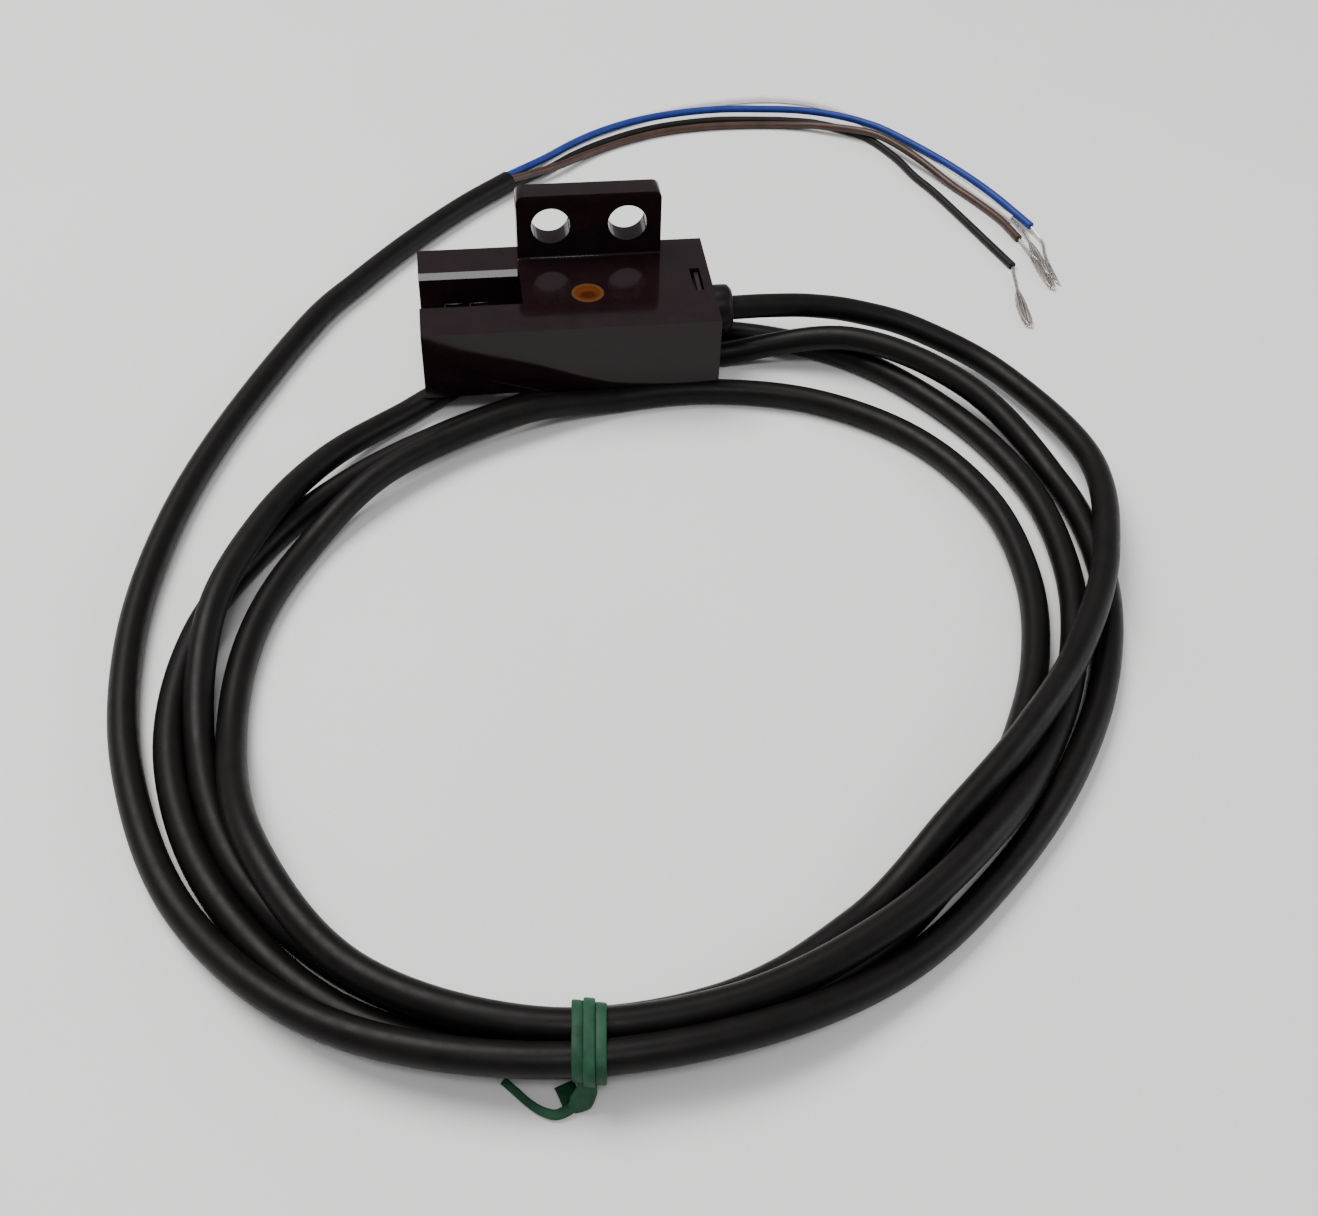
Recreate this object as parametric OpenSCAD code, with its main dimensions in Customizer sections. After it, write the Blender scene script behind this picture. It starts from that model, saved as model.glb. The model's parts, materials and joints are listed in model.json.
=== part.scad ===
// U-shaped micro photoelectric sensor with an upright mounting tab, a round
// indicator window and a moulded-in four-core cable, tied in a loose coil.
// X runs along the body (arms towards -X, cable towards +X), Y points to the
// back, Z points up. The shapes are drawn about the middle of the base face,
// and the last lines move them so that the origin is midway between the two
// mounting holes, at the back face of the tab.

/* [Housing] */
// Length of the body along X
body_l = 26; // [24:0.5:30]
// Depth of the body along Y
body_w = 13.3; // [13:0.1:15]
// Height of the body along Z
body_h = 6.5; // [6.2:0.1:7.5]
// Thickness of the moulded walls
wall = 0.8; // [0.7:0.05:0.85]
// Clearance between parts that are pushed together
fit_gap = 0.03; // [0.02:0.01:0.05]

/* [Sensing slot] */
// Width of the sensing slot between the two arms
slot_w = 5; // [4.8:0.1:5.2]
// Depth of the sensing slot from the arm tips
slot_l = 9; // [8.6:0.1:9]
// Chamfer along the top inner edge of the rear arm
arm_chamfer = 0.45; // [0.2:0.05:0.5]
// Distance from the arm tips to the optical axis
axis_x = 4.15; // [4:0.05:4.4]
// Height of the optical axis above the base
axis_z = 2.4; // [2.3:0.1:2.5]
// Width of the light slit in each window
slit_w = 0.6; // [0.4:0.1:0.8]

/* [Mounting tab] */
// Width of the tab along X
tab_l = 13; // [12.5:0.1:13.5]
// Thickness of the tab
tab_t = 2.1; // [1.8:0.1:2.4]
// Height of the tab above the top face
tab_h = 6.3; // [6:0.1:6.8]
// Radius of the tab's two free corners
tab_r = 0.7; // [0.4:0.1:1]
// Diameter of the two mounting holes
hole_d = 3.5; // [3.2:0.1:3.6]
// Distance between the two mounting holes
hole_pitch = 6.9; // [6.6:0.1:7.1]

/* [Indicator] */
// Diameter of the round indicator window
lens_d = 3; // [2.6:0.1:3.2]

/* [Cable] */
// Diameter of the cable jacket
cable_d = 2.2; // [2:0.1:2.2]
// Diameter of each insulated core
core_d = 0.8; // [0.7:0.05:0.8]
// Diameter of the tinned strands at each core's stripped end
strand_d = 0.45; // [0.3:0.05:0.5]
// Diameter of the bushing where the cable leaves the body
bushing_d = 4.3; // [4:0.1:4.4]
// Width of one wrap of the tie around the coil
tie_w = 0.68; // [0.6:0.02:0.8]
// Thickness of the tie
tie_t = 0.28; // [0.2:0.02:0.3]

/* [Hidden] */

ROUND = 48;
eps = 0.01;
x_tip = -body_l / 2;
x_end = body_l / 2;
y_back = body_w / 2;
slot_x = x_tip + slot_l;
slot_y = slot_w / 2;
top_z = body_h - wall;
plate_t = 0.8;
tab_x = 2.5;
tab_top = body_h + tab_h;
hole_z = body_h + tab_h / 2 + 0.1;
origin = [tab_x, y_back, hole_z];
foot_r = 0.2;
optic_x = x_tip + axis_x;
window_w = 4.1;
window_h = 2.3;
window_proud = 0.12;
window_x = optic_x - window_w / 2;
window_z = axis_z - window_h / 2;
lens_x = 1.8;
lens_y = -1.25;
hook_x = x_end - 1.75;
hook_recess = [0.9, 3.45];

// Circuit board
board_t = 0.8;
board_z = 2.2;
board_top = board_z + board_t;
board_x0 = slot_x + wall + 0.4;
board_x1 = 10;
board_w = body_w - 2 * wall - 0.6;

// Cable: exit, coil centre and the height of the surface it lies on
cable_r = cable_d / 2;
exit_x = x_end + 2;
cable_z = body_h / 2;
jacket_x = 10.3;
floor_z = -2.2;
low = floor_z + cable_r;
high = low + 2.2;
coil_x = 4;
coil_y = -33;
turn_step = 18;

// From the bushing to where the coil begins
LEAD = [
    [exit_x, 0, cable_z], [18.5, 0.3, 3.05], [22.5, 0.6, 2.6], [27, 0.4, 1.8],
    [32.5, -1.5, 0.8]
];
// Each turn is a list of [radius, height] at every turn_step degrees,
// clockwise from the +X side of the coil
TURN_1 = [
    [43.4, -0.4], [41, 0.2], [36, 1.2], [32.2, 1.3], [30, 1.4],
    [29.6, 0.6], [31.8, low], [35.3, -0.9], [37.8, -0.7], [38.6, low],
    [37.8, low], [35.7, low], [33.6, high], [31.9, high], [31.5, 0.2],
    [31.9, low], [33.6, low], [35.6, low], [37, low], [37.4, low]
];
TURN_2 = [
    [36.2, low], [35, low], [33.4, low], [32.1, low], [31.6, -0.5],
    [32.4, high], [34.2, 1.2], [36.7, 1], [38.9, 1.2], [39.2, high],
    [36.6, high], [33.4, -0.9], [30.8, low], [28.5, low], [26.7, 0],
    [25.5, 0], [25.1, 0], [26, low], [27.8, low], [29.8, low]
];
TURN_3 = [
    [31, low], [30.9, low], [30, low], [29.3, low], [29.4, low],
    [31.2, low], [34.1, low], [37.6, -0.9], [40.1, -0.7], [41.1, low],
    [39.9, low], [37.9, low], [35.1, low], [31.8, low], [29.1, low],
    [27.5, low], [27.4, low], [29.6, low], [33.6, low], [37, 1.3]
];
TURN_4 = [
    [38.2, 0.8], [37.7, low], [36.2, low], [34.6, low], [33.8, low],
    [34.3, low], [36.4, -0.6], [38.9, 1], [41.3, 1.2], [42.9, 0.3],
    [42.3, low], [40.8, low], [39.9, low], [40.2, low], [42.4, low]
];
TAIL = [
    [-23.5, 7, low], [-18.8, 14, low], [-13.8, 20.5, low],
    [-8.5, 26.5, low], [-3.5, 31.2, low]
];

// The four cores behind the body, from the jacket's end to the stripped ends
core_low = floor_z + core_d / 2;
core_high = core_low + core_d;
CORE_BLUE = [
    [-3.8, 31.5, low + 0.4], [0.8, 35.6, core_high], [3.8, 38.3, core_high],
    [7.2, 40.8, core_high], [11.4, 42.9, core_high], [16, 44.2, core_high],
    [21, 44.8, core_high], [26, 44.5, core_high], [30.2, 43.9, core_high],
    [34, 42.5, core_high], [37.1, 40.5, core_high], [39.5, 38, core_high],
    [43.7, 31.6, core_high], [47, 25, core_high], [49.8, 18.5, -1.4]
];
CORE_WHITE = [
    [-3.8, 31.5, low - 0.4], [0, 36.2, core_low], [3, 39.2, core_low],
    [6.4, 41.8, core_low], [10.1, 43.9, core_low], [14, 45.7, core_low],
    [17.9, 47.1, core_low], [22, 48, core_low], [25.9, 48.4, core_low],
    [29.5, 48, core_low], [33.1, 46.5, core_low], [36, 44, core_low],
    [40.8, 36.6, core_low], [44.8, 28.6, core_low], [48.5, 20.6, core_low]
];
CORE_BROWN = [
    [-3.2, 30.9, low + 0.4], [1.9, 34.3, -1.3], [4.7, 36.6, -1.6],
    [7.6, 38.7, core_low], [11.4, 40.6, core_low], [15.5, 41.9, core_low],
    [20.5, 42.5, core_low], [25.5, 42.4, core_low], [29.1, 41.9, -1.7],
    [32.4, 40.8, -1.4], [37.4, 38, core_high], [40.7, 33.2, core_high],
    [44.2, 27.2, core_low], [47, 21.2, core_low], [48.1, 16.9, core_low]
];
CORE_BLACK = [
    [-3.2, 30.9, low - 0.4], [1.3, 35, core_low], [4.2, 37.6, core_low],
    [7.4, 39.8, core_low], [11.5, 41.9, core_low], [15.8, 43.2, core_low],
    [20.7, 43.8, core_low], [25.6, 43.5, core_low], [29.2, 43, core_low],
    [32.4, 42, core_low], [36.6, 39, core_low], [39, 34.4, core_low],
    [40.3, 30, core_low], [42, 25.4, core_low], [46, 12, core_low]
];
// The stripped ends, from where each core's insulation stops
strand_low = floor_z + strand_d / 2;
STRAND_BLUE = [
    [49.8, 18.5, -1.4], [50.3, 16.2, -1.7], [50, 13.9, -1.9],
    [49.8, 11.4, strand_low], [49.9, 8.6, strand_low]
];
STRAND_WHITE = [
    [48.5, 20.6, core_low], [48.9, 17.8, -1.6], [49.1, 15.4, -1.8],
    [49.2, 12.8, strand_low], [49.3, 9.8, strand_low]
];
STRAND_BROWN = [
    [48.1, 16.9, core_low], [48.4, 14.8, -1.9], [48.7, 12.6, strand_low],
    [48.9, 10.2, strand_low], [49, 7.8, strand_low]
];
STRAND_BLACK = [
    [46, 12, core_low], [45.6, 9.6, -1.9], [45.2, 6.8, strand_low],
    [44.9, 4, strand_low], [44.8, 1.7, strand_low]
];
TIE_TAIL = [
    [-5.6, -73.8, 0.4], [-6, -74, -0.9], [-6.8, -74.4, -1.85],
    [-7.6, -74.4, -1.85], [-8.6, -73.6, -1.85], [-9.5, -72.6, -1.85],
    [-10.2, -71.8, -1.85]
];

function coil_point(a, r, z) =
    [coil_x + r * cos(a), coil_y + r * sin(a), z];
function turn_points(list, first) =
    [for (i = [0:len(list) - 1])
        coil_point(first - turn_step * i, list[i][0], list[i][1])];
function unit(v) = v / norm(v);

P_LEAD = LEAD;
P_1 = turn_points(TURN_1, 36);
P_2 = turn_points(TURN_2, 36);
P_3 = turn_points(TURN_3, 36);
P_4 = turn_points(TURN_4, 36);
ROUTE = concat(P_LEAD, P_1, P_2, P_3, P_4, TAIL);
I_1 = len(P_LEAD);
I_2 = I_1 + len(P_1);
I_3 = I_2 + len(P_2);
I_4 = I_3 + len(P_3);
I_5 = I_4 + len(P_4);
I_END = len(ROUTE) - 1;

// A tube of eight sides swept along the points first..last of a route
SIDES = 8;
function tangent(p, i) =
    unit(p[min(i + 1, len(p) - 1)] - p[max(i - 1, 0)]);
function ring(p, i, r) =
    let (t = tangent(p, i), s = unit(cross(t, [0, 0, 1])), u = cross(s, t))
    [for (k = [0:SIDES - 1])
        let (a = 360 * k / SIDES) p[i] + r * (cos(a) * s + sin(a) * u)];
module tube(p, first, last, d) {
    n = last - first;
    points = [for (i = [first:last]) each ring(p, i, d / 2)];
    walls = [for (i = [0:n - 1], k = [0:SIDES - 1])
        let (a = i * SIDES + k, b = i * SIDES + (k + 1) % SIDES)
        each [[a, b, b + SIDES], [a, b + SIDES, a + SIDES]]];
    start = [for (k = [SIDES - 1:-1:0]) k];
    end = [for (k = [0:SIDES - 1]) n * SIDES + k];
    polyhedron(points, concat(walls, [start, end]), convexity = 10);
}

module box(lo, hi) {
    translate(lo) cube(hi - lo);
}

// A cylinder along X and one along Y
module rod_x(x0, x1, y, z, d) {
    translate([x0, y, z]) rotate([0, 90, 0])
        cylinder(d = d, h = x1 - x0, $fn = ROUND);
}
module rod_y(y0, y1, x, z, d) {
    translate([x, y0, z]) rotate([-90, 0, 0])
        cylinder(d = d, h = y1 - y0, $fn = ROUND);
}

// Plan outline of the body with its slot, drawn in by some distance
module plan(inset) {
    difference() {
        translate([x_tip + inset, -y_back + inset])
            square([body_l - 2 * inset, body_w - 2 * inset]);
        translate([x_tip - eps, -slot_y - inset])
            square([slot_l + inset + eps, slot_w + 2 * inset]);
    }
}

module tab_outline() {
    x0 = tab_x - tab_l / 2;
    z1 = tab_top - tab_r;
    translate([x0, body_h - wall]) square([tab_l, z1 - body_h + wall]);
    translate([x0 + tab_r, z1 - eps]) square([tab_l - 2 * tab_r, tab_r + eps]);
    for (x = [x0 + tab_r, x0 + tab_l - tab_r])
        translate([x, z1]) circle(r = tab_r, $fn = ROUND);
}

module mounting_holes() {
    for (side = [-1, 1])
        rod_y(y_back - tab_t - 1, y_back + 1,
            tab_x + side * hole_pitch / 2, hole_z, hole_d);
}

// Openings of the two windows in the arms' inner walls
module window_opening(y0) {
    box([window_x, y0, window_z],
        [window_x + window_w, y0 + wall + 2 * eps, window_z + window_h]);
}

module housing() {
    color("#2a2426") difference() {
        union() {
            difference() {
                linear_extrude(body_h) plan(0);
                translate([0, 0, -eps])
                    linear_extrude(top_z + eps) plan(wall);
            }
            translate([0, y_back, 0]) rotate([90, 0, 0])
                linear_extrude(tab_t) tab_outline();
            // Fillet along the tab's foot
            difference() {
                box([tab_x - tab_l / 2, y_back - tab_t - foot_r, body_h - eps],
                    [tab_x + tab_l / 2, y_back - tab_t + eps,
                        body_h + foot_r]);
                rod_x(tab_x - tab_l / 2 - 1, tab_x + tab_l / 2 + 1,
                    y_back - tab_t - foot_r, body_h + foot_r, 2 * foot_r);
            }
            // Ribs that press on the circuit board
            for (side = [-1, 1], x = [0, 8])
                box([x, side * (board_w / 2 - 0.5) - 0.4, board_top + fit_gap],
                    [x + 0.8, side * (board_w / 2 - 0.5) + 0.4, top_z + eps]);
        }
        mounting_holes();
        // Stepped hole for the indicator lens
        translate([lens_x, lens_y, top_z - eps])
            cylinder(d = lens_d, h = wall + 2 * eps, $fn = ROUND);
        // Recess for the snap hook
        box([hook_x, -hook_recess[1] / 2, top_z - eps],
            [hook_x + hook_recess[0], hook_recess[1] / 2, body_h + eps]);
        // Hole and outer seat for the cable bushing
        rod_x(x_end - wall - eps, x_end + eps, 0, cable_z, bushing_d - 0.9);
        window_opening(slot_y - eps);
        window_opening(-slot_y - wall - eps);
        // Chamfer along the rear arm's top inner edge
        translate([x_tip - eps, slot_y, body_h]) rotate([45, 0, 0])
            translate([0, -arm_chamfer / sqrt(2), -arm_chamfer / sqrt(2)])
            cube([slot_l - 0.15, arm_chamfer * sqrt(2),
                arm_chamfer * sqrt(2)]);
        // Pocket in the end wall for the snap hook's barb
        box([x_end - wall - eps, -1.7, 5.25], [x_end - wall + 0.2, 1.7, 5.6]);
        // Snap pockets in the arm tips for the base cover's lugs
        for (side = [-1, 1])
            box([x_tip + wall - 0.3, side * 4.6 - 0.8, 1.1],
                [x_tip + wall + eps, side * 4.6 + 0.8, 1.6]);
    }
}

module base_cover() {
    inner = wall + fit_gap;
    stem_x = hook_x + 0.05;
    bar_x = hook_x + 0.4;
    ledge_z = 5.3;
    color("#1f1c1e") union() {
        linear_extrude(plate_t) plan(inner);
        // Portal-shaped snap hook around the cable: two stems, a ledge over
        // the bushing's flange with the barb, and the bar seen in the recess
        for (side = [-1, 1])
            box([stem_x, side * 1.4 - 0.22, plate_t - eps],
                [stem_x + 0.4, side * 1.4 + 0.22, ledge_z + eps]);
        box([stem_x, -1.62, ledge_z],
            [x_end - wall + 0.13, 1.62, ledge_z + 0.25]);
        box([bar_x, -1.62, ledge_z + 0.25 - eps],
            [bar_x + 0.4, 1.62, body_h - 0.35]);
        // Posts under the circuit board
        for (side = [-1, 1], x = [board_x0 + 0.3, board_x1 - 1.5])
            box([x, side * (board_w / 2 - 0.8) - 0.4, plate_t - eps],
                [x + 1, side * (board_w / 2 - 0.8) + 0.4, board_z]);
        // Lugs at the arm tips
        for (side = [-1, 1]) {
            box([x_tip + inner, side * 4.6 - 0.7, plate_t - eps],
                [x_tip + inner + 0.4, side * 4.6 + 0.7, 1.55]);
            box([x_tip + wall - 0.25, side * 4.6 - 0.7, 1.15],
                [x_tip + inner + eps, side * 4.6 + 0.7, 1.55]);
        }
    }
}

module indicator_lens() {
    color("#c8891e") translate([lens_x, lens_y, 0]) {
        translate([0, 0, body_h - 0.55])
            cylinder(d = lens_d - 2 * fit_gap, h = 0.5, $fn = ROUND);
        translate([0, 0, board_top + 1])
            cylinder(d = lens_d - 0.9, h = body_h - board_top - 1.5,
                $fn = ROUND);
    }
}

// A window with a central slit, for the arm whose inner face is at y0
module window(y0, outward) {
    gap = fit_gap;
    depth = 0.6;
    lo = outward > 0 ? y0 - window_proud : y0 + window_proud - depth;
    x0 = window_x + gap;
    x1 = window_x + window_w - gap;
    z0 = window_z + gap;
    z1 = window_z + window_h - gap;
    face = outward > 0 ? lo - eps : lo + depth - 0.2;
    difference() {
        box([x0, lo, z0], [x1, lo + depth, z1]);
        box([optic_x - slit_w / 2, face, z0 + 0.25],
            [optic_x + slit_w / 2, face + 0.2 + eps, z1 + eps]);
    }
}
module emitter_window() {
    color("#3a1416") window(-slot_y, -1);
}
module receiver_window() {
    color("#3a1416") window(slot_y, 1);
}

// Side-looking optical package in an arm, its dome towards the slot
opto = [3.2, 1.3, 2.9];
module opto_package(side) {
    y_face = side * (slot_y + wall + 0.75);
    y_rear = y_face + side * opto[1];
    box([optic_x - opto[0] / 2, min(y_face, y_rear), axis_z - opto[2] / 2],
        [optic_x + opto[0] / 2, max(y_face, y_rear), axis_z + opto[2] / 2]);
    intersection() {
        translate([optic_x, y_face, axis_z]) sphere(d = 1.4, $fn = ROUND);
        box([optic_x - 1, min(y_face - side, y_face), axis_z - 1],
            [optic_x + 1, max(y_face - side, y_face), axis_z + 1]);
    }
}
module opto_leads(side) {
    for (y = [4.1, 5.2])
        box([optic_x + opto[0] / 2, side * y - 0.2, board_top],
            [board_x0 + 1.2, side * y + 0.2, board_top + 0.2]);
}
module ir_emitter() {
    color("#5a6c8c") opto_package(-1);
}
module emitter_leads() {
    color("#c9c9cf") opto_leads(-1);
}
module photo_receiver() {
    color("#26262c") opto_package(1);
}
module receiver_leads() {
    color("#c9c9cf") opto_leads(1);
}

module circuit_board() {
    color("#1f6b3c") difference() {
        box([board_x0, -board_w / 2, board_z],
            [board_x1, board_w / 2, board_top]);
        // Vias beside each core's solder pad
        for (y = [-3.6, -1.2, 1.2, 3.6])
            translate([6.2, y, board_z - eps])
                cylinder(d = 0.5, h = board_t + 2 * eps, $fn = ROUND);
    }
}

// A chip package with gull-wing legs along two sides
module chip(pos, size, legs, pitch) {
    translate([pos[0], pos[1], board_top]) {
        translate([-size[0] / 2, -size[1] / 2, 0.1]) cube(size);
        for (side = [-1, 1], i = [0:legs - 1])
            translate([(i - (legs - 1) / 2) * pitch - 0.15,
                    side > 0 ? size[1] / 2 - eps : -size[1] / 2 - 0.5 + eps, 0])
                cube([0.3, 0.5, 0.35]);
    }
}
module signal_ic() {
    color("#232327") chip([4.6, 2.3], [3, 2.4, 1], 4, 0.7);
}
module output_transistor() {
    color("#2b2b30") chip([4.4, -3.6], [2.6, 1.3, 0.9], 2, 1.5);
}
module chip_part(x, y, l, w, h) {
    translate([x, y, board_top]) cube([l, w, h]);
}
module chip_resistors() {
    color("#30343a") for (y = [-4.6, -3.4, 0.9, 2.1])
        chip_part(0, y, 1, 0.5, 0.35);
}
module chip_capacitors() {
    color("#b59a6a") for (y = [-0.3, 4.3])
        chip_part(y > 0 ? 0 : 3.8, y, 1.6, 0.8, 0.8);
}
module indicator_led() {
    color("#e8d9a0") chip_part(lens_x - 0.8, lens_y - 0.4, 1.6, 0.8, 0.7);
}

CORE_Y = [-3.6, -1.2, 1.2, 3.6];
pad_x = 7.3;
module solder_joints() {
    color("#b8bcc2") {
        for (y = CORE_Y)
            box([pad_x - 0.8, y - 0.4, board_top],
                [pad_x - eps, y + 0.4, board_top + 0.5]);
        for (side = [-1, 1], y = [4.1, 5.2])
            box([board_x0 + 1.2 + eps, side * y - 0.3, board_top],
                [board_x0 + 1.8, side * y + 0.3, board_top + 0.3]);
    }
}

module cable_bushing() {
    color("#1b1b1d") difference() {
        union() {
            // Flange inside the wall, neck in the wall, body outside it
            rod_x(x_end - wall - 0.45, x_end - wall - fit_gap, 0, cable_z,
                bushing_d - 0.3);
            rod_x(x_end - wall - 0.1, x_end + 0.1, 0, cable_z,
                bushing_d - 0.9 - 2 * fit_gap);
            rod_x(x_end + fit_gap, exit_x - 0.4, 0, cable_z, bushing_d);
            translate([exit_x - 0.4, 0, cable_z]) rotate([0, 90, 0])
                cylinder(d1 = bushing_d, d2 = bushing_d - 0.8, h = 0.4,
                    $fn = ROUND);
        }
        rod_x(x_end - 2, exit_x + 1, 0, cable_z, cable_d);
    }
}

module cable_clamp() {
    color("#b9bbc0") difference() {
        rod_x(jacket_x + 0.1, hook_x - 0.05, 0, cable_z, cable_d + 0.6);
        rod_x(jacket_x, hook_x, 0, cable_z, cable_d);
    }
}

// A core's route from the jacket's end to its solder pad
function inner_route(i) =
    let (y = CORE_Y[i], dy = y > 0 ? 0.42 : -0.42,
        dz = abs(y) > 2 ? 0.42 : -0.42, z = board_top + core_d / 2)
    [[jacket_x, dy, cable_z + dz], [jacket_x - 0.7, dy * 1.4, z + 0.6],
        [jacket_x - 1.6, y * 0.75, z + 0.2], [pad_x + 0.5, y, z],
        [pad_x, y, z]];
module inner_core(i, c) {
    color(c) tube(inner_route(i), 0, 4, core_d);
}
module inner_core_brown() {
    inner_core(0, "#8a6a3c");
}
module inner_core_blue() {
    inner_core(1, "#1f47b8");
}
module inner_core_black() {
    inner_core(2, "#1a1a1c");
}
module inner_core_white() {
    inner_core(3, "#e9e6e2");
}

module cable_entry() {
    color("#202123") rod_x(jacket_x, exit_x, 0, cable_z, cable_d);
}
module cable(first, last) {
    color("#202123") tube(ROUTE, first, last, cable_d);
}
module cable_lead() {
    cable(0, I_1);
}
module cable_turn_1() {
    cable(I_1, I_2);
}
module cable_turn_2() {
    cable(I_2, I_3);
}
module cable_turn_3() {
    cable(I_3, I_4);
}
module cable_turn_4() {
    cable(I_4, I_5);
}
module cable_tail() {
    cable(I_5, I_END);
}

module core(route, c) {
    color(c) tube(route, 0, len(route) - 1, core_d);
}
module core_brown() {
    core(CORE_BROWN, "#8a6a3c");
}
module core_blue() {
    core(CORE_BLUE, "#1f47b8");
}
module core_black() {
    core(CORE_BLACK, "#1a1a1c");
}
module core_white() {
    core(CORE_WHITE, "#e9e6e2");
}

module strand_end(route) {
    color("#c6c8cc") tube(route, 0, len(route) - 1, strand_d);
}
module strand_end_brown() {
    strand_end(STRAND_BROWN);
}
module strand_end_blue() {
    strand_end(STRAND_BLUE);
}
module strand_end_black() {
    strand_end(STRAND_BLACK);
}
module strand_end_white() {
    strand_end(STRAND_WHITE);
}

// Three wraps of an elastic tie, stretched around the four strands of the
// coil. The strands' places are [radial, height] from the wraps' centre.
tie_angle = -103.2;
tie_mid = [38.95, 0.2];
TIED = [[-1.7, -0.95], [0.6, -0.95], [-0.55, 0.95], [1.7, 0.95]];
module around_strands(r) {
    hull() for (c = TIED) translate(c) circle(r = r, $fn = ROUND);
}
module coil_tie() {
    color("#2f8f5c")
        translate(coil_point(tie_angle, tie_mid[0], tie_mid[1]))
        rotate([90, 0, tie_angle])
        for (i = [-1:1])
            translate([0, 0, i * (tie_w + 0.02) - tie_w / 2])
                linear_extrude(tie_w) difference() {
                    around_strands(cable_r + 0.02 + tie_t);
                    around_strands(cable_r + 0.02);
                }
}
module tie_tail() {
    color("#2f8f5c") tube(TIE_TAIL, 0, len(TIE_TAIL) - 1, 0.7);
}

// Places every sub-part about the origin
translate(-origin) {
    housing();
    base_cover();
    indicator_lens();
    emitter_window();
    receiver_window();
    ir_emitter();
    emitter_leads();
    photo_receiver();
    receiver_leads();
    circuit_board();
    signal_ic();
    output_transistor();
    chip_resistors();
    chip_capacitors();
    indicator_led();
    solder_joints();
    cable_bushing();
    cable_clamp();
    inner_core_brown();
    inner_core_blue();
    inner_core_black();
    inner_core_white();
    cable_entry();
    cable_lead();
    cable_turn_1();
    cable_turn_2();
    cable_turn_3();
    cable_turn_4();
    cable_tail();
    core_brown();
    core_blue();
    core_black();
    core_white();
    strand_end_brown();
    strand_end_blue();
    strand_end_black();
    strand_end_white();
    coil_tie();
    tie_tail();
}
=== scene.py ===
"""Looks for the U-slot photoelectric sensor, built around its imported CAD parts.

Lengths in the tables are in millimetres and are turned into metres by metres() or MM.
"""

import json
import math

import bmesh
import bpy
from mathutils import Euler, Matrix, Vector


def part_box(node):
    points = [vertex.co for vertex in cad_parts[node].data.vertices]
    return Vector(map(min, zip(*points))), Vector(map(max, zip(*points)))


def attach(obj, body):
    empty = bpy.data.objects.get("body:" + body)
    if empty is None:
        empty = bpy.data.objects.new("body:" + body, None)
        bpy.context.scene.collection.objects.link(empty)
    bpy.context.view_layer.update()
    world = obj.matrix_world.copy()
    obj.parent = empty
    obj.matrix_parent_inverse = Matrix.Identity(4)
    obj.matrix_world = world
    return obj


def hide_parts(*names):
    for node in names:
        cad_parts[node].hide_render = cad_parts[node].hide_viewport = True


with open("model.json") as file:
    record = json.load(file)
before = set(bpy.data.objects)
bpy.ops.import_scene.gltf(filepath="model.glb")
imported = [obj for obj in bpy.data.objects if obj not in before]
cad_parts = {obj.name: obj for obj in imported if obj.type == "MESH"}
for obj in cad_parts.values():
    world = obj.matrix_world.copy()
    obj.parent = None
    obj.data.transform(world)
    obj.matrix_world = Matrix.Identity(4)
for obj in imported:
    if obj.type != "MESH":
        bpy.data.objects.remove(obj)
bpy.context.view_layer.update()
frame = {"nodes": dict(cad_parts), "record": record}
NODES = frame["nodes"]
MM = 0.001
# The tables measure from the middle of the body's base face; the origin is here, in mm.
ORIGIN = (2.5, 6.65, 9.75)


def metres(point):
    """A point of the tables in the frame's metres."""
    return (Vector(point) - Vector(ORIGIN)) * MM


# ---------------------------------------------------------------- camera

def make_camera():
    """The camera at the photograph's angle, 45 degrees above the horizon."""
    place = metres((-9.48, -120.378, 86.848))
    tilt, roll, heading = [math.radians(a) for a in (44.9895, -1.5827, -7.3592)]
    data = bpy.data.cameras.new("camera")
    data.sensor_width = 36.0
    data.lens = 43.70
    data.clip_start = 0.005
    data.clip_end = 10.0
    camera = bpy.data.objects.new("camera", data)
    bpy.context.scene.collection.objects.link(camera)
    camera.matrix_world = Matrix.LocRotScale(place, Euler((tilt, roll, heading)), None)
    bpy.context.scene.camera = camera


make_camera()


# ---------------------------------------------------------------- routes

CABLE_D = 2.2
CORE_D = 0.8
FLOOR_Z = -2.2
# Heights of a cable's and a core's axis on the surface, and on another one
LOW = FLOOR_Z + CABLE_D / 2
HIGH = LOW + CABLE_D
CORE_LOW = FLOOR_Z + CORE_D / 2
CORE_HIGH = CORE_LOW + CORE_D
EXIT = (15, 0, 3.25)
JACKET_END = (-3.5, 31.2, LOW)
COIL_X = 4
COIL_Y = -33
FIRST_ANGLE = 36
TURN_STEP = 18
ROUTE_STEPS = 12
CORE_STEPS = 10

LEAD = [EXIT, (18.5, 0.3, 3.05), (22.5, 0.6, 2.6), (27, 0.4, 1.8), (32.5, -1.5, 0.8)]
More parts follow.
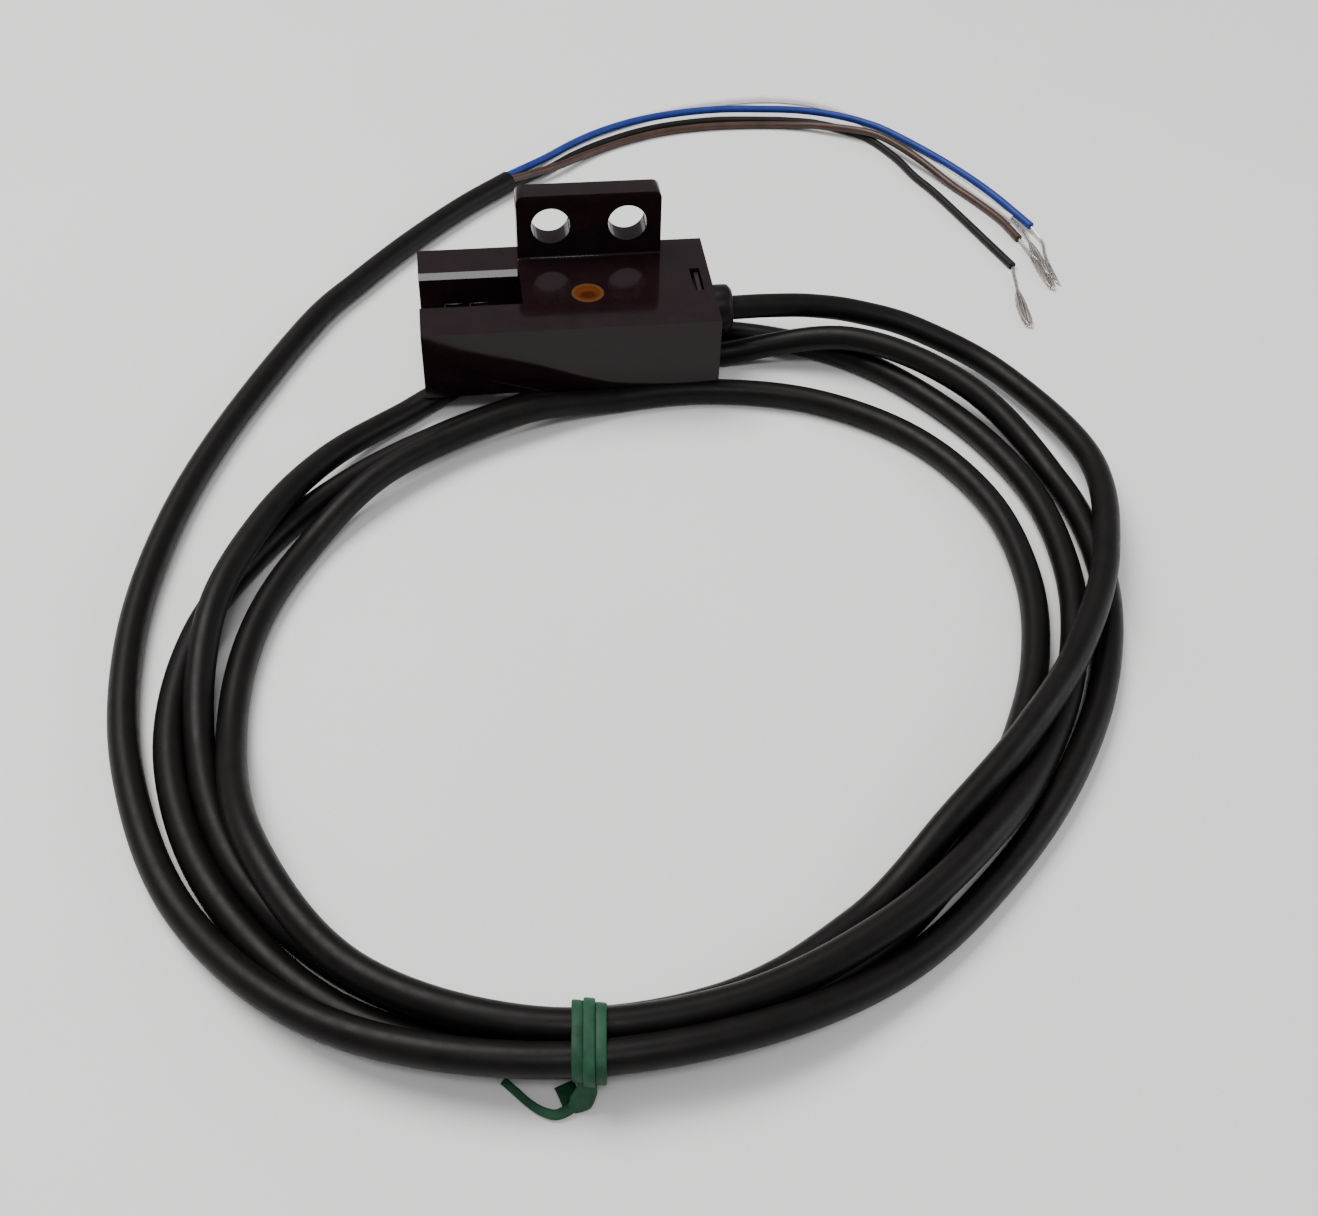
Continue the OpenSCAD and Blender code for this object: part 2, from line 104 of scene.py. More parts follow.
# Each turn is a list of (radius, height), clockwise from the coil's +X side.
TURNS = [
    [
        (43.4, -0.4), (41, 0.2), (36, 1.2), (32.2, 1.3), (30, 1.4), (29.6, 0.6), (31.8, LOW),
        (35.3, -0.9), (37.8, -0.7), (38.6, LOW), (37.8, LOW), (35.7, LOW), (33.6, HIGH),
        (31.9, HIGH), (31.5, 0.2), (31.9, LOW), (33.6, LOW), (35.6, LOW), (37, LOW), (37.4, LOW)],
    [
        (36.2, LOW), (35, LOW), (33.4, LOW), (32.1, LOW), (31.6, -0.5), (32.4, HIGH),
        (34.2, 1.2), (36.7, 1), (38.9, 1.2), (39.2, HIGH), (36.6, HIGH), (33.4, -0.9),
        (30.8, LOW), (28.5, LOW), (26.7, 0), (25.5, 0), (25.1, 0), (26, LOW), (27.8, LOW),
        (29.8, LOW)],
    [
        (31, LOW), (30.9, LOW), (30, LOW), (29.3, LOW), (29.4, LOW), (31.2, LOW), (34.1, LOW),
        (37.6, -0.9), (40.1, -0.7), (41.1, LOW), (39.9, LOW), (37.9, LOW), (35.1, LOW),
        (31.8, LOW), (29.1, LOW), (27.5, LOW), (27.4, LOW), (29.6, LOW), (33.6, LOW), (37, 1.3)],
    [
        (38.2, 0.8), (37.7, LOW), (36.2, LOW), (34.6, LOW), (33.8, LOW), (34.3, LOW),
        (36.4, -0.6), (38.9, 1), (41.3, 1.2), (42.9, 0.3), (42.3, LOW), (40.8, LOW),
        (39.9, LOW), (40.2, LOW), (42.4, LOW)],
]
TAIL = [(-23.5, 7, LOW), (-18.8, 14, LOW), (-13.8, 20.5, LOW), (-8.5, 26.5, LOW),
        JACKET_END]
CORES = {
    "blue": [
        (-3.8, 31.5, LOW + 0.4), (0.8, 35.6, CORE_HIGH), (3.8, 38.3, CORE_HIGH),
        (7.2, 40.8, CORE_HIGH), (11.4, 42.9, CORE_HIGH), (16, 44.2, CORE_HIGH),
        (21, 44.8, CORE_HIGH), (26, 44.5, CORE_HIGH), (30.2, 43.9, CORE_HIGH),
        (34, 42.5, CORE_HIGH), (37.1, 40.5, CORE_HIGH), (39.5, 38, CORE_HIGH),
        (43.7, 31.6, CORE_HIGH), (47, 25, CORE_HIGH), (49.8, 18.5, -1.4)],
    "white": [
        (-3.8, 31.5, LOW - 0.4), (0, 36.2, CORE_LOW), (3, 39.2, CORE_LOW),
        (6.4, 41.8, CORE_LOW), (10.1, 43.9, CORE_LOW), (14, 45.7, CORE_LOW),
        (17.9, 47.1, CORE_LOW), (22, 48, CORE_LOW), (25.9, 48.4, CORE_LOW),
        (29.5, 48, CORE_LOW), (33.1, 46.5, CORE_LOW), (36, 44, CORE_LOW),
        (40.8, 36.6, CORE_LOW), (44.8, 28.6, CORE_LOW), (48.5, 20.6, CORE_LOW)],
    "brown": [
        (-3.2, 30.9, LOW + 0.4), (1.9, 34.3, -1.3), (4.7, 36.6, -1.6), (7.6, 38.7, CORE_LOW),
        (11.4, 40.6, CORE_LOW), (15.5, 41.9, CORE_LOW), (20.5, 42.5, CORE_LOW),
        (25.5, 42.4, CORE_LOW), (29.1, 41.9, -1.7), (32.4, 40.8, -1.4), (37.4, 38, CORE_HIGH),
        (40.7, 33.2, CORE_HIGH), (44.2, 27.2, CORE_LOW), (47, 21.2, CORE_LOW),
        (48.1, 16.9, CORE_LOW)],
    "black": [
        (-3.2, 30.9, LOW - 0.4), (1.3, 35, CORE_LOW), (4.2, 37.6, CORE_LOW),
        (7.4, 39.8, CORE_LOW), (11.5, 41.9, CORE_LOW), (15.8, 43.2, CORE_LOW),
        (20.7, 43.8, CORE_LOW), (25.6, 43.5, CORE_LOW), (29.2, 43, CORE_LOW),
        (32.4, 42, CORE_LOW), (36.6, 39, CORE_LOW), (39, 34.4, CORE_LOW), (40.3, 30, CORE_LOW),
        (42, 25.4, CORE_LOW), (46, 12, CORE_LOW)],
}


def cable_points():
    """The cable's route: the lead, the turns about the coil's centre, and the tail."""
    points = list(LEAD)
    for turn in TURNS:
        for i, (radius, z) in enumerate(turn):
            angle = math.radians(FIRST_ANGLE - TURN_STEP * i)
            points.append((COIL_X + radius * math.cos(angle),
                           COIL_Y + radius * math.sin(angle), z))
    return [Vector(p) for p in points + TAIL]


def smooth(points, steps, lowest=FLOOR_Z):
    """Points on a Catmull-Rom curve through the given points, none under the lowest height."""
    points = [Vector(p) for p in points]
    ends = [2 * points[0] - points[1], *points, 2 * points[-1] - points[-2]]
    out = []
    for i in range(len(points) - 1):
        a, b, c, d = ends[i:i + 4]
        for k in range(steps):
            u = k / steps
            out.append(0.5 * (2 * b + (c - a) * u + (2 * a - 5 * b + 4 * c - d) * u * u
                              + (3 * b - a - 3 * c + d) * u * u * u))
    out.append(points[-1])
    for p in out:
        p.z = max(p.z, lowest)
    return out


def cord_object(name, points, diameter):
    """A round cord as a curve through points in millimetres."""
    curve = bpy.data.curves.new(name, "CURVE")
    curve.dimensions = "3D"
    curve.bevel_depth = diameter / 2 * MM
    curve.bevel_resolution = 6
    curve.use_fill_caps = True
    spline = curve.splines.new("POLY")
    spline.points.add(len(points) - 1)
    for point, p in zip(spline.points, points):
        point.co = (*metres(p), 1)
    spline.use_smooth = True
    cord = bpy.data.objects.new(name, curve)
    bpy.context.scene.collection.objects.link(cord)
    return cord


# ---------------------------------------------------------------- materials

# A stretch along Z that leaves a piece's height out of a distance
UPRIGHT = 1000


class Shader:
    """A Principled material with helpers for procedural detail in object space."""

    def __init__(self, name):
        self.material = bpy.data.materials.new(name)
        self.material.use_nodes = True
        self.tree = self.material.node_tree
        self.bsdf = self.tree.nodes["Principled BSDF"]
        self.place = self.tree.nodes.new("ShaderNodeTexCoord").outputs["Object"]
        self.normal = None

    def set(self, **values):
        """Sets constants on the shader's own sockets."""
        for key, value in values.items():
            self.bsdf.inputs[key.replace("_", " ")].default_value = value
        return self

    def node(self, kind, **values):
        """Adds a node and sets its properties."""
        made = self.tree.nodes.new(kind)
        for key, value in values.items():
            setattr(made, key, value)
        return made

    def noise(self, scale, detail=4.0, rough=0.55, stretch=(1, 1, 1)):
        """Noise whose scale is in cycles per millimetre."""
        mapping = self.node("ShaderNodeMapping")
        mapping.inputs["Scale"].default_value = [s / MM for s in stretch]
        self.tree.links.new(self.place, mapping.inputs["Vector"])
        texture = self.node("ShaderNodeTexNoise")
        texture.inputs["Scale"].default_value = scale
        texture.inputs["Detail"].default_value = detail
        texture.inputs["Roughness"].default_value = rough
        self.tree.links.new(mapping.outputs["Vector"], texture.inputs["Vector"])
        return texture.outputs["Fac"]

    def from_axis(self, centre, across, along):
        """Distance from an upright axis, as a share of a half width along X and one along Y."""
        mapping = self.node("ShaderNodeMapping", vector_type="TEXTURE")
        mapping.inputs["Location"].default_value = centre
        mapping.inputs["Scale"].default_value = (across, along, UPRIGHT)
        self.tree.links.new(self.place, mapping.inputs["Vector"])
        length = self.node("ShaderNodeVectorMath", operation="LENGTH")
        self.tree.links.new(mapping.outputs["Vector"], length.inputs[0])
        return length.outputs["Value"]

    def ramp(self, source, stops):
        """A colour ramp over a value: stops are (position, colour)."""
        ramp = self.node("ShaderNodeValToRGB")
        elements = ramp.color_ramp.elements
        while len(elements) < len(stops):
            elements.new(0.5)
        for element, (position, colour) in zip(elements, stops):
            element.position = position
            element.color = (*colour, 1)
        self.tree.links.new(source, ramp.inputs["Fac"])
        return ramp.outputs["Color"]

    def colour(self, source, stops):
        """Base colour from a ramp over a value."""
        self.tree.links.new(self.ramp(source, stops), self.bsdf.inputs["Base Color"])
        return self

    def rough(self, source, low, high):
        """Roughness between two values, from the middle of a noise's range."""
        span = self.node("ShaderNodeMapRange")
        span.inputs["From Min"].default_value = 0.3
        span.inputs["From Max"].default_value = 0.7
        span.inputs["To Min"].default_value = low
        span.inputs["To Max"].default_value = high
        self.tree.links.new(source, span.inputs["Value"])
        self.tree.links.new(span.outputs["Result"], self.bsdf.inputs["Roughness"])
        return self

    def bump(self, source, depth_mm, strength=1.0):
        """Adds relief; several calls stack."""
        bump = self.node("ShaderNodeBump")
        bump.inputs["Strength"].default_value = strength
        bump.inputs["Distance"].default_value = depth_mm * MM
        self.tree.links.new(source, bump.inputs["Height"])
        if self.normal is not None:
            self.tree.links.new(self.normal, bump.inputs["Normal"])
        self.normal = bump.outputs["Normal"]
        self.tree.links.new(self.normal, self.bsdf.inputs["Normal"])
        return self


def moulded(name, dark, light, gloss, rough, relief=0.001, specular=0.5):
    """Injection-moulded plastic: faint mottling, uneven gloss and a fine texture."""
    s = Shader(name).set(IOR=1.5, Specular_IOR_Level=specular)
    s.colour(s.noise(0.6, 5), [(0.3, dark), (0.7, light)])
    s.rough(s.noise(1.2, 6, stretch=(0.3, 1, 1)), gloss, rough)
    s.bump(s.noise(0.5, 2), relief, 0.3)
    s.bump(s.noise(12, 3), relief, 0.5)
    return s.material


def vinyl(name, dark, light, low, high, relief=0.004, specular=0.3):
    """Extruded vinyl: soft mottling, fine pores and a satin skin."""
    s = Shader(name).set(IOR=1.46, Specular_IOR_Level=specular)
    s.colour(s.noise(0.5, 6), [(0.3, dark), (0.72, light)])
    s.rough(s.noise(1.1, 5), low, high)
    s.bump(s.noise(0.7, 3), relief, 0.4)
    s.bump(s.noise(9, 4), relief, 0.5)
    return s.material


def metal(name, dark, light, low, high, relief=0.006):
    """Tinned or plated metal with a slightly uneven surface."""
    s = Shader(name).set(Metallic=1.0)
    s.colour(s.noise(2.5, 5), [(0.3, dark), (0.7, light)])
    s.rough(s.noise(4, 4), low, high)
    s.bump(s.noise(6, 4), relief, 0.6)
    return s.material


def amber():
    """Amber resin with a painted highlight on its rim and painted shade round its edge, and the
    dark lamp below seen through its front half.
    """
    low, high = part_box("indicator_lens")
    x, y, z = [(a + b) / 2 for a, b in zip(low, high)]
    radius = (high[0] - low[0]) / 2
    s = Shader("amber_lens").set(IOR=1.5, Coat_Weight=0.2, Coat_Roughness=0.12)
    # The resin ramp paints a highlight as a paler band near the rim, and paints shade as a dark
    # line at the very edge, where the lens sits in its recess.
    resin = s.ramp(s.from_axis((x, y, z), radius, radius), [
        (0.0, (0.1, 0.028, 0.005)), (0.7, (0.075, 0.021, 0.004)), (0.86, (0.1, 0.034, 0.008)),
        (0.94, (0.08, 0.036, 0.018)), (1.0, (0.03, 0.014, 0.008))])
    lamp = s.ramp(s.from_axis((x, y - 0.2 * radius, z), 0.62 * radius, 0.5 * radius), [
        (0.0, (0.42, 0.26, 0.3)), (0.6, (0.5, 0.36, 0.4)), (1.0, (1, 1, 1))])
    shade = s.node("ShaderNodeMix", data_type="RGBA", blend_type="MULTIPLY")
    shade.inputs["Factor"].default_value = 1
    s.tree.links.new(resin, shade.inputs["A"])
    s.tree.links.new(lamp, shade.inputs["B"])
    s.tree.links.new(shade.outputs["Result"], s.bsdf.inputs["Base Color"])
    s.rough(s.noise(3, 4), 0.12, 0.28)
    s.bump(s.noise(2.2, 3), 0.01, 0.4)
    return s.material


MATERIALS = {
    "housing_plastic": moulded(
        "housing_plastic", (0.0075, 0.0032, 0.0042), (0.0105, 0.0048, 0.006), 0.07, 0.13,
        0.0008, 0.22),
    "cover_plastic": moulded(
        "cover_plastic", (0.014, 0.01, 0.011), (0.022, 0.016, 0.018), 0.3, 0.42, 0.004, 0.3),
    "amber_lens": amber(),
    "window_plastic": moulded(
        "window_plastic", (0.006, 0.002, 0.0025), (0.009, 0.003, 0.0035), 0.05, 0.1, 0.0005),
    "emitter_resin": moulded(
        "emitter_resin", (0.1, 0.14, 0.22), (0.14, 0.19, 0.28), 0.1, 0.2),
    "receiver_resin": moulded(
        "receiver_resin", (0.01, 0.01, 0.014), (0.02, 0.02, 0.026), 0.15, 0.25),
    "board_laminate": moulded(
        "board_laminate", (0.01, 0.07, 0.03), (0.016, 0.11, 0.05), 0.2, 0.35),
    "chip_resin": moulded(
        "chip_resin", (0.012, 0.012, 0.013), (0.024, 0.024, 0.026), 0.45, 0.65, 0.004),
    "resistor_body": moulded(
        "resistor_body", (0.02, 0.02, 0.024), (0.04, 0.04, 0.045), 0.3, 0.5),
    "capacitor_ceramic": moulded(
        "capacitor_ceramic", (0.3, 0.2, 0.1), (0.4, 0.28, 0.15), 0.4, 0.6),
    "led_resin": moulded("led_resin", (0.6, 0.5, 0.28), (0.75, 0.66, 0.4), 0.1, 0.2),
    "tinned_lead": metal("tinned_lead", (0.5, 0.5, 0.51), (0.68, 0.68, 0.7), 0.2, 0.35),
    "solder": metal("solder", (0.45, 0.46, 0.48), (0.65, 0.66, 0.68), 0.15, 0.35, 0.02),
    "clamp_steel": metal("clamp_steel", (0.4, 0.4, 0.42), (0.58, 0.58, 0.6), 0.25, 0.4),
    "tinned_strands": metal(
        "tinned_strands", (0.42, 0.38, 0.35), (0.85, 0.81, 0.77), 0.14, 0.3),
    "bushing_rubber": vinyl(
        "bushing_rubber", (0.005, 0.003, 0.0036), (0.009, 0.0055, 0.0066), 0.32, 0.45,
        0.004, 0.16),
    "jacket_pvc": vinyl(
        "jacket_pvc", (0.0026, 0.0021, 0.0019), (0.005, 0.0043, 0.004), 0.38, 0.5, 0.004, 0.17),
    "core_blue": vinyl(
        "core_blue", (0.008, 0.025, 0.17), (0.014, 0.038, 0.24), 0.4, 0.55, 0.002),
    "core_white": vinyl(
        "core_white", (0.7, 0.67, 0.66), (0.82, 0.8, 0.79), 0.35, 0.5, 0.002),
    "core_brown": vinyl(
        "core_brown", (0.03, 0.013, 0.008), (0.058, 0.03, 0.02), 0.32, 0.45, 0.002, 0.4),
    "core_black": vinyl(
        "core_black", (0.005, 0.004, 0.004), (0.009, 0.008, 0.008), 0.4, 0.55, 0.002, 0.22),
    "tie_elastic": vinyl(
        "tie_elastic", (0.006, 0.03, 0.015), (0.02, 0.085, 0.042), 0.5, 0.65, 0.008, 0.2),
}


def paint(piece, slot):
    """Gives a piece one material."""
    piece.data.materials.clear()
    piece.data.materials.append(MATERIALS[slot])
    return piece


def own(piece, slot, *replaced):
    """Paints a new piece, puts it on the part's only body and hides the CAD parts it replaces."""
    paint(piece, slot)
    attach(piece, "root")
    if replaced:
        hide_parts(*replaced)
    return piece


# ---------------------------------------------------------------- mesh tools

def mesh_object(name, verts, faces, flat=False):
    """A mesh piece from points in millimetres."""
    mesh = bpy.data.meshes.new(name)
    mesh.from_pydata([metres(v) for v in verts], [], faces)
    shaper = bmesh.new()
    shaper.from_mesh(mesh)
    bmesh.ops.recalc_face_normals(shaper, faces=shaper.faces)
    shaper.to_mesh(mesh)
    shaper.free()
    for face in mesh.polygons:
        face.use_smooth = not flat
    piece = bpy.data.objects.new(name, mesh)
    bpy.context.scene.collection.objects.link(piece)
    return piece


def frames_along(points):
    """Each point with two vectors across the route, turned as little as possible."""
    side = None
    out = []
    for i, p in enumerate(points):
        direction = (points[min(i + 1, len(points) - 1)] - points[max(i - 1, 0)]).normalized()
        if side is None:
            side = direction.cross(Vector((0, 0, 1))).normalized()
        side = (side - direction * side.dot(direction)).normalized()
        out.append((p, side, side.cross(direction)))
    return out


def skin(rings):
    """Vertices and faces over a row of equal rings, closed at both ends."""
    verts = [v for ring in rings for v in ring]
    faces = []
    n = len(rings[0])
    for i in range(len(rings) - 1):
        for k in range(n):
            a, b = i * n + k, i * n + (k + 1) % n
            faces.append((a, b, b + n, a + n))
    faces.append(tuple(range(n))[::-1])
    faces.append(tuple(range(len(verts) - n, len(verts))))
    return verts, faces


def tube(points, radius, count):
    """A round tube along points, with so many sides."""
    section = circle(radius, count)
    return skin([[p + side * a + over * b for a, b in section]
                 for p, side, over in frames_along(points)])


def circle(radius, count):
    """Points of a circle."""
    return [(radius * math.cos(2 * math.pi * k / count),
             radius * math.sin(2 * math.pi * k / count)) for k in range(count)]


def joined(*meshes):
    """Several (vertices, faces) as one."""
    verts, faces = [], []
    for v, f in meshes:
        faces += [tuple(i + len(verts) for i in face) for face in f]
        verts += v
    return verts, faces


# ---------------------------------------------------------------- cords

cable_route = smooth(cable_points(), ROUTE_STEPS, LOW)
cable = own(cord_object("cable_jacket", cable_route, CABLE_D), "jacket_pvc",
            "cable_lead", "cable_turn_1", "cable_turn_2", "cable_turn_3",
            "cable_turn_4", "cable_tail")

core_routes = {}
for colour, points in CORES.items():
    core_routes[colour] = smooth(points, CORE_STEPS, CORE_LOW)
    name = "core_" + colour
    own(
        cord_object("wire_" + colour, core_routes[colour], CORE_D), name, name)


# ---------------------------------------------------------------- stripped ends

STRAND_D = 0.45
STRAND_LOW = FLOOR_Z + STRAND_D / 2
WIRE_R = 0.065
WIRES = 12
BARE_END = {
    "blue": [
        (49.8, 18.5, -1.4), (50.3, 16.2, -1.7), (50, 13.9, -1.9), (49.8, 11.4, STRAND_LOW),
        (49.9, 8.6, STRAND_LOW)],
    "white": [
        (48.5, 20.6, CORE_LOW), (48.9, 17.8, -1.6), (49.1, 15.4, -1.8),
        (49.2, 12.8, STRAND_LOW), (49.3, 9.8, STRAND_LOW)],
    "brown": [
        (48.1, 16.9, CORE_LOW), (48.4, 14.8, -1.9), (48.7, 12.6, STRAND_LOW),
        (48.9, 10.2, STRAND_LOW), (49, 7.8, STRAND_LOW)],
    "black": [
        (46, 12, CORE_LOW), (45.6, 9.6, -1.9), (45.2, 6.8, STRAND_LOW), (44.9, 4, STRAND_LOW),
        (44.8, 1.7, STRAND_LOW)],
}
# How far the wires of each bare end spread, and the share of it where they begin to
SPREAD = {"blue": (0.1, 0.6), "white": (0.5, 0.45), "brown": (0.55, 0.35), "black": (0.52, 0.4)}
# Radius of the twisted part, its turn in radians, and how flat the frayed part lies
TWIST_R = 0.12
TWIST = 7
FLATNESS = 0.45
# How far a loose wire waves to the side
WAVE = 0.07


def bare_wire(rows, w, bulge, start):
    """One wire of a bare end: w counts the wires, rows are the bundle's frames."""
    ring = math.sqrt((w + 0.5) / WIRES)
    shorter = (w * 5) % 4
    line = []
    for i, (p, side, over) in enumerate(rows[:len(rows) - shorter]):
        share = i / (len(rows) - 1)
        loose = max(0.0, (share - start) / (1 - start))
        turn = 2.4 * w + TWIST * min(share, start) + 0.9 * math.sin(3.1 * w) * loose
        spread = ring * (TWIST_R + bulge * math.sin(math.pi * min(loose, 0.97)) ** 0.7)
        wave = WAVE * math.sin(11 * share + 1.7 * w) * loose
        q = p + side * (spread * math.cos(turn) + wave)
        q += over * FLATNESS * spread * math.sin(turn)
        q.z = max(q.z, FLOOR_Z + WIRE_R)
        line.append(q)
    return tube(line, WIRE_R, 6)


def bare_end(colour, points):
    """Fine tinned wires, twisted where the insulation stops and frayed like a spindle after."""
    rows = frames_along(smooth(points, ROUTE_STEPS))
    wires = [bare_wire(rows, w, *SPREAD[colour]) for w in range(WIRES)]
    piece = mesh_object("bare_end_" + colour, *joined(*wires))
    return own(piece, "tinned_strands", "strand_end_" + colour)


ends = {colour: bare_end(colour, points) for colour, points in BARE_END.items()}


# ---------------------------------------------------------------- tie

# Where the tie is: its direction from the coil's centre, and its middle's distance and height
TIE_ANGLE = math.radians(-103.2)
TIE_MID = (38.95, 0.2)
# The four strands in it, as (radial, height) from its middle
TIED = [(-1.7, -0.95), (0.6, -0.95), (1.7, 0.95), (-0.55, 0.95)]
TIE_W = 0.72
TIE_T = 0.28
FOLD_T = 0.2
TIE_GAP = 0.02
TIE_OVERLAP = 0.02
MIDDLE_LIFT = 0.2
# How far a wrap wanders to the side on its way around
TIE_WANDER = 0.04
# How far each wrap moves along the cable for each millimetre away from the coil's middle
TIE_LEAN = 0.13


def around(points, radius, count):
    """A closed line at some distance around points given anticlockwise, with so many points
    on each corner's arc."""
    line = []
    n = len(points)
    for i in range(n):
        before, here, after = (Vector(points[j % n]) for j in (i - 1, i, i + 1))
        a0 = math.atan2(*(here - before).yx) - math.pi / 2
        a1 = math.atan2(*(after - here).yx) - math.pi / 2
        while a1 < a0:
            a1 += 2 * math.pi
        for k in range(count):
            a = a0 + (a1 - a0) * k / (count - 1)
            line.append(here + radius * Vector((math.cos(a), math.sin(a))))
    return line


def tie_point(radial, along, z):
    """A point of the tie: radial and z from its centre, along the cable's direction."""
    out = Vector((math.cos(TIE_ANGLE), math.sin(TIE_ANGLE), 0))
    way = Vector((-math.sin(TIE_ANGLE), math.cos(TIE_ANGLE), 0))
    centre = Vector((COIL_X, COIL_Y, 0)) + out * TIE_MID[0]
    return centre + out * radial + way * along + Vector((0, 0, TIE_MID[1] + z))


def strip(width, thick, blunt):
    """A soft-edged strip section, as (across, over) points; a lower blunt is squarer."""
    points = []
    for c, s in circle(1, 16):
        points.append((width / 2 * math.copysign(abs(c) ** blunt, c),
                       thick / 2 * math.copysign(abs(s) ** 0.7, s)))
    return points


def wrap_ring(place, lift):
    """One closed wrap at some place along the cable, lifted a little off the strands."""
    ring = around(TIED, CABLE_D / 2 + TIE_GAP + TIE_T / 2 + lift, 9)
    section = strip(TIE_W, TIE_T, 0.35)
    n, m = len(ring), len(section)
    verts, faces = [], []
    for k, p in enumerate(ring):
        along = (ring[(k + 1) % n] - ring[k - 1]).normalized()
        outward = Vector((along.y, -along.x))
        middle = place + TIE_WANDER * math.sin(2 * math.pi * k / n + place)
        for across, over in section:
            q = p + outward * over
            verts.append(tie_point(q.x, middle + across + TIE_LEAN * q.x, q.y))
    for k in range(n):
        for j in range(m):
            faces.append((k * m + j, k * m + (j + 1) % m,
                          (k + 1) % n * m + (j + 1) % m, (k + 1) % n * m + j))
    return verts, faces


def band(points, widths, across, thick=TIE_T):
    """A flat elastic band along points, with a width and a direction across it at each."""
    route = smooth(points, 8, FLOOR_Z + thick / 2)
    last = len(route) - 1
    rings = []
    for i, p in enumerate(route):
        place = i / last * (len(points) - 1)
        k = min(int(place), len(points) - 2)
        width = widths[k] + (widths[k + 1] - widths[k]) * (place - k)
        way = (route[min(i + 1, last)] - route[max(i - 1, 0)]).normalized()
        side = Vector(across[k]).lerp(Vector(across[k + 1]), place - k)
        side = (side - way * side.dot(way)).normalized()
        rings.append([p + side * a + side.cross(way) * b for a, b in strip(width, thick, 0.4)])
    return skin(rings)


# The middle wrap widens as it leaves the coil's outer side, folds under itself and runs
# back to the cable, and its loop lies on the surface.
ALONG = (0.97, -0.23, 0)
FLAP = [(-5.1, -73.4, 0.8), (-5.35, -73.8, -0.3), (-5.75, -74.05, -1.2), (-6.3, -74.15, -1.8)]
FLAP_WIDTHS = [0.7, 1.3, 1.5, 0.7]
UNDER = [(-6.3, -74.1, -1.85), (-6.3, -73.5, -1.95), (-6.4, -73, -1.95), (-6.6, -72.4, -1.95)]
UNDER_WIDTHS = [0.9, 1.2, 1.25, 1.25]
UNDER_ACROSS = (0.955, 0.3, 0)
LOOP = [(-6, -73.9, -1.6), (-6.6, -74.2, -1.8), (-7.3, -74.35, -1.85), (-8.1, -74, -1.85),
        (-8.8, -73.4, -1.85), (-9.5, -72.6, -1.85), (-10.2, -71.8, -1.85)]
LOOP_WIDTHS = [0.7, 0.7, 0.62, 0.55, 0.5, 0.5, 0.5]
LOOP_ACROSS = [(0.3, 0.9, 0.3)] * 3 + [(0.5, 0.7, 0.5)] * 4


def tie_wraps():
    """Three wraps of elastic around the four strands of the coil, the middle one folded."""
    pitch = TIE_W - TIE_OVERLAP
    rings = [wrap_ring(-pitch, 0), wrap_ring(0, MIDDLE_LIFT), wrap_ring(pitch, 0)]
    flap = band(FLAP, FLAP_WIDTHS, [ALONG] * len(FLAP), FOLD_T)
    under = band(UNDER, UNDER_WIDTHS, [UNDER_ACROSS] * len(UNDER), FOLD_T)
    return own(mesh_object("elastic_tie", *joined(*rings, flap, under)), "tie_elastic",
               "coil_tie")


def tie_loop():
    """The tie's free loop on the surface."""
    loop = band(LOOP, LOOP_WIDTHS, LOOP_ACROSS)
    return own(mesh_object("tie_loop", *loop), "tie_elastic", "tie_tail")


tie = tie_wraps()
loop = tie_loop()


# ---------------------------------------------------------------- CAD nodes

SLOTS = {row["node"]: row["material_slot"] for row in frame["record"]["subparts"]}
for name, node in NODES.items():
    if not node.hide_render:
        paint(node, SLOTS[name])


# Facets flatter than this are one face, and edges sharper than this are rounded
FLAT_ANGLE = math.radians(0.5)
SHARP_ANGLE = math.radians(40)


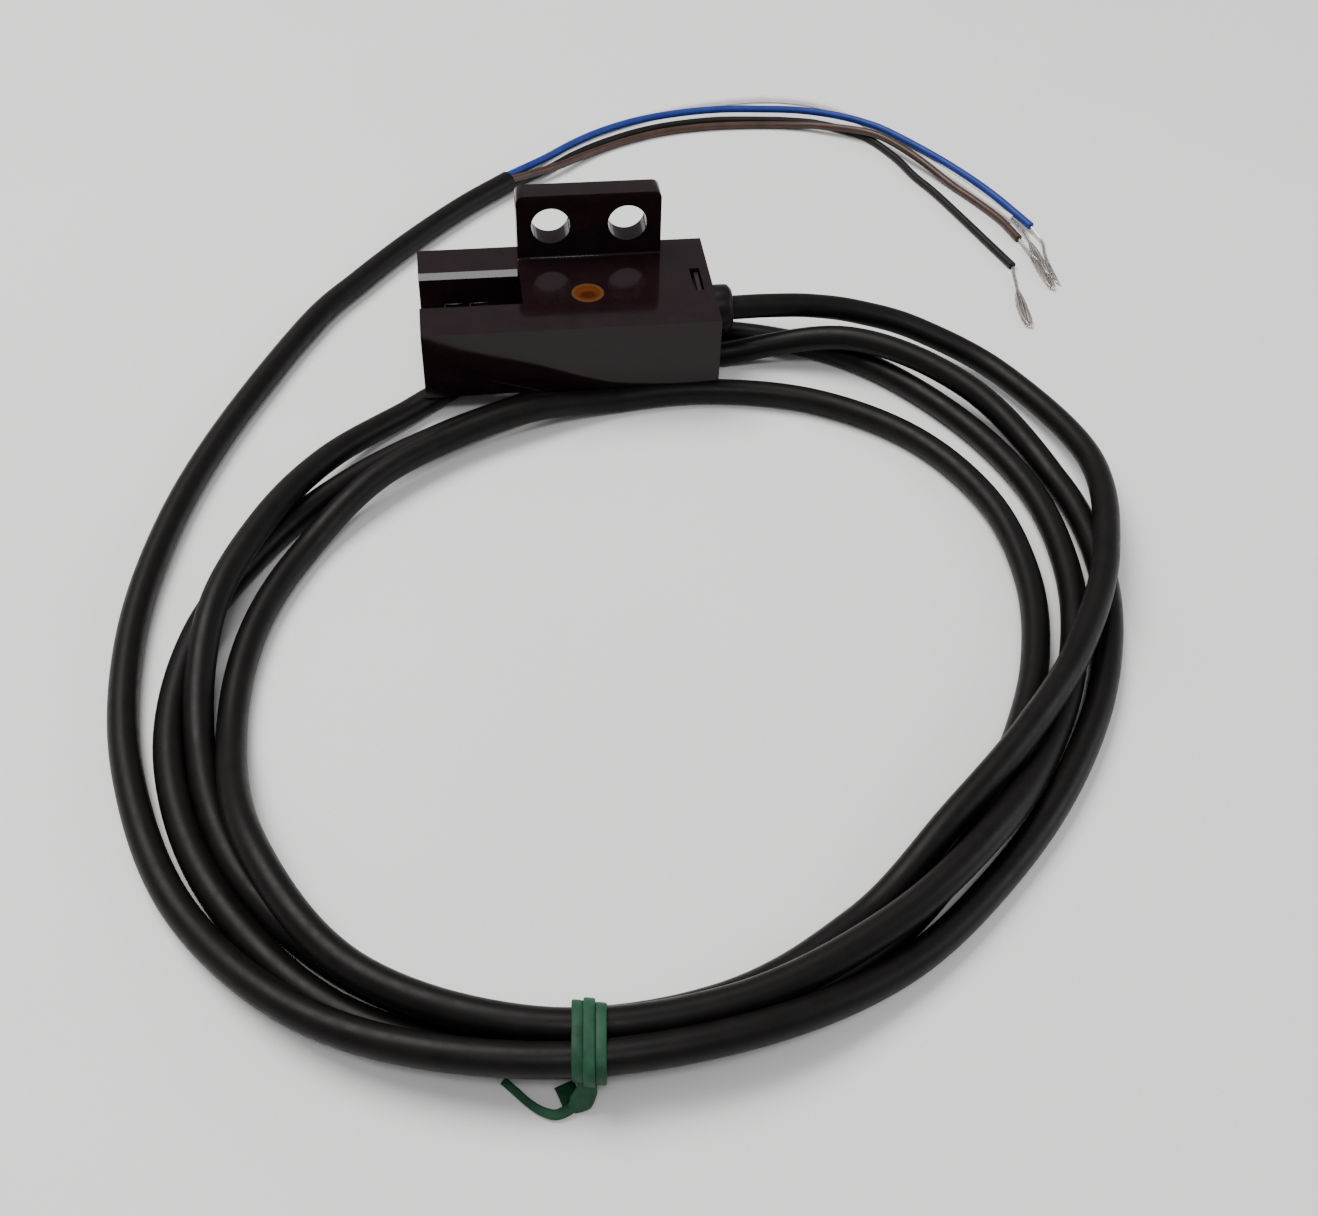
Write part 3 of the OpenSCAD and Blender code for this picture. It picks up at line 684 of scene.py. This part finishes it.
def soften(name, width_mm):
    """Rounds a CAD node's sharp edges as a mould would, without moving its mesh."""
    node = NODES[name]
    weld = node.modifiers.new("weld", "WELD")
    weld.merge_threshold = 1e-6
    flatten = node.modifiers.new("flatten", "DECIMATE")
    flatten.decimate_type = "DISSOLVE"
    flatten.angle_limit = FLAT_ANGLE
    bevel = node.modifiers.new("bevel", "BEVEL")
    bevel.width = width_mm * MM
    bevel.segments = 3
    bevel.limit_method = "ANGLE"
    bevel.angle_limit = SHARP_ANGLE
    shade = node.modifiers.new("shade", "WEIGHTED_NORMAL")
    shade.mode = "FACE_AREA"
    shade.weight = 100
    for face in node.data.polygons:
        face.use_smooth = True


soften("housing", 0.09)
soften("base_cover", 0.06)
soften("emitter_window", 0.04)
soften("receiver_window", 0.1)
soften("cable_bushing", 0.2)


# ---------------------------------------------------------------- stage and light

def make_floor():
    """A pale surface just under the cable, large enough to fill every view."""
    size = 900
    floor = mesh_object("floor", [(-size, -size, FLOOR_Z), (size, -size, FLOOR_Z),
                                  (size, size, FLOOR_Z), (-size, size, FLOOR_Z)],
                        [(0, 1, 2, 3)], flat=True)
    s = Shader("floor_card").set(Roughness=0.65)
    s.colour(s.noise(0.02, 3), [(0.3, (0.78, 0.775, 0.77)), (0.7, (0.82, 0.815, 0.81))])
    s.bump(s.noise(3, 4), 0.01, 0.3)
    floor.data.materials.append(s.material)


def area_light(name, place, aim, size, power, colour=(1, 1, 1)):
    """A soft rectangular lamp; place and aim are in millimetres."""
    data = bpy.data.lights.new(name, "AREA")
    data.shape = "RECTANGLE"
    data.size, data.size_y = size[0] * MM, size[1] * MM
    data.energy = power
    data.color = colour
    lamp = bpy.data.objects.new(name, data)
    bpy.context.scene.collection.objects.link(lamp)
    lamp.location = metres(place)
    aim_way = (Vector(aim) - Vector(place)).normalized()
    lamp.rotation_mode = "QUATERNION"
    lamp.rotation_quaternion = aim_way.to_track_quat("-Z", "Y")


def make_world():
    """An even, pale studio around the part."""
    world = bpy.data.worlds.new("studio")
    bpy.context.scene.world = world
    world.use_nodes = True
    background = world.node_tree.nodes["Background"]
    background.inputs["Color"].default_value = (0.93, 0.92, 0.93, 1)
    background.inputs["Strength"].default_value = 0.46


make_floor()
make_world()
area_light("key", (-160, 120, 420), (0, -20, 0), (320, 260), 2.8, (1, 0.98, 0.96))
area_light("front", (-8, -245, 383), (-8, 2, 6), (130, 80), 0.5)
area_light("side", (380, -60, 160), (0, -10, 0), (160, 200), 0.5, (0.95, 0.97, 1))
